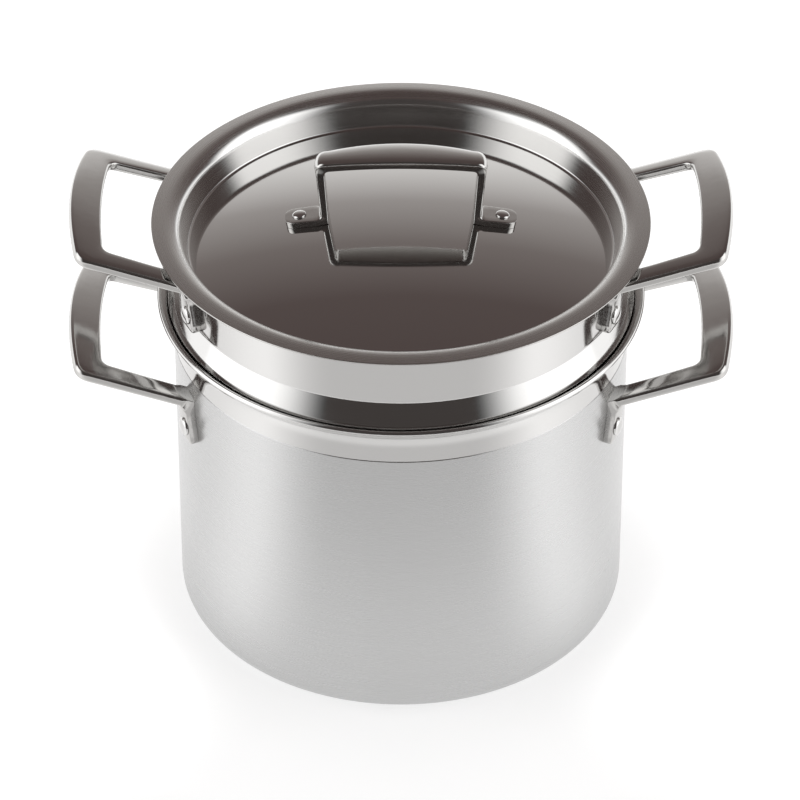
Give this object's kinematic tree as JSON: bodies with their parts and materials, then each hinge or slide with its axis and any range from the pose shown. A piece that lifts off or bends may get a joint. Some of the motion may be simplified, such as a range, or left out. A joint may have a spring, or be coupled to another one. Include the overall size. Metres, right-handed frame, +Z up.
{
  "type": "pasta pot",
  "caption": "Tall round stainless steel pasta pot with a flared lip, a perforated strainer insert that hangs in it, and a domed lid, with looped side handles and a bridge handle on top.",
  "frame": {"origin": "centre of the pot's flat base, on the surface it stands on", "axes": "+Z up along the pot's axis, +X from the left side handles to the right ones, +Y to the back"},
  "size_m": [0.3502, 0.2604, 0.278],
  "materials": {
    "satin_steel": "satin wall, polished lip",
    "polished_steel": "polished",
    "lid_steel": "mirror dome, satin flange",
    "cast_steel": "polished casting",
    "rivet_steel": "polished"
  },
  "bodies": {
    "pot": {"pot_body": "satin_steel", "pot_handle_left": "cast_steel", "pot_rivet_left_front": "rivet_steel", "pot_rivet_left_back": "rivet_steel", "pot_handle_right": "cast_steel", "pot_rivet_right_front": "rivet_steel", "pot_rivet_right_back": "rivet_steel"},
    "insert": {"strainer_insert": "polished_steel", "insert_handle_left": "cast_steel", "insert_rivet_left_front": "rivet_steel", "insert_rivet_left_back": "rivet_steel", "insert_handle_right": "cast_steel", "insert_rivet_right_front": "rivet_steel", "insert_rivet_right_back": "rivet_steel"},
    "lid": {"lid": "lid_steel", "lid_handle": "cast_steel", "lid_rivet_left": "rivet_steel", "lid_rivet_right": "rivet_steel"}
  },
  "joints": [
    {"name": "insert_lift", "type": "slide", "parent": "pot", "child": "insert", "axis": [0, 0, 1], "range_m": [0, 0.2]},
    {"name": "lid_lift", "type": "slide", "parent": "insert", "child": "lid", "axis": [0, 0, 1], "range_m": [0, 0.1]}
  ]
}
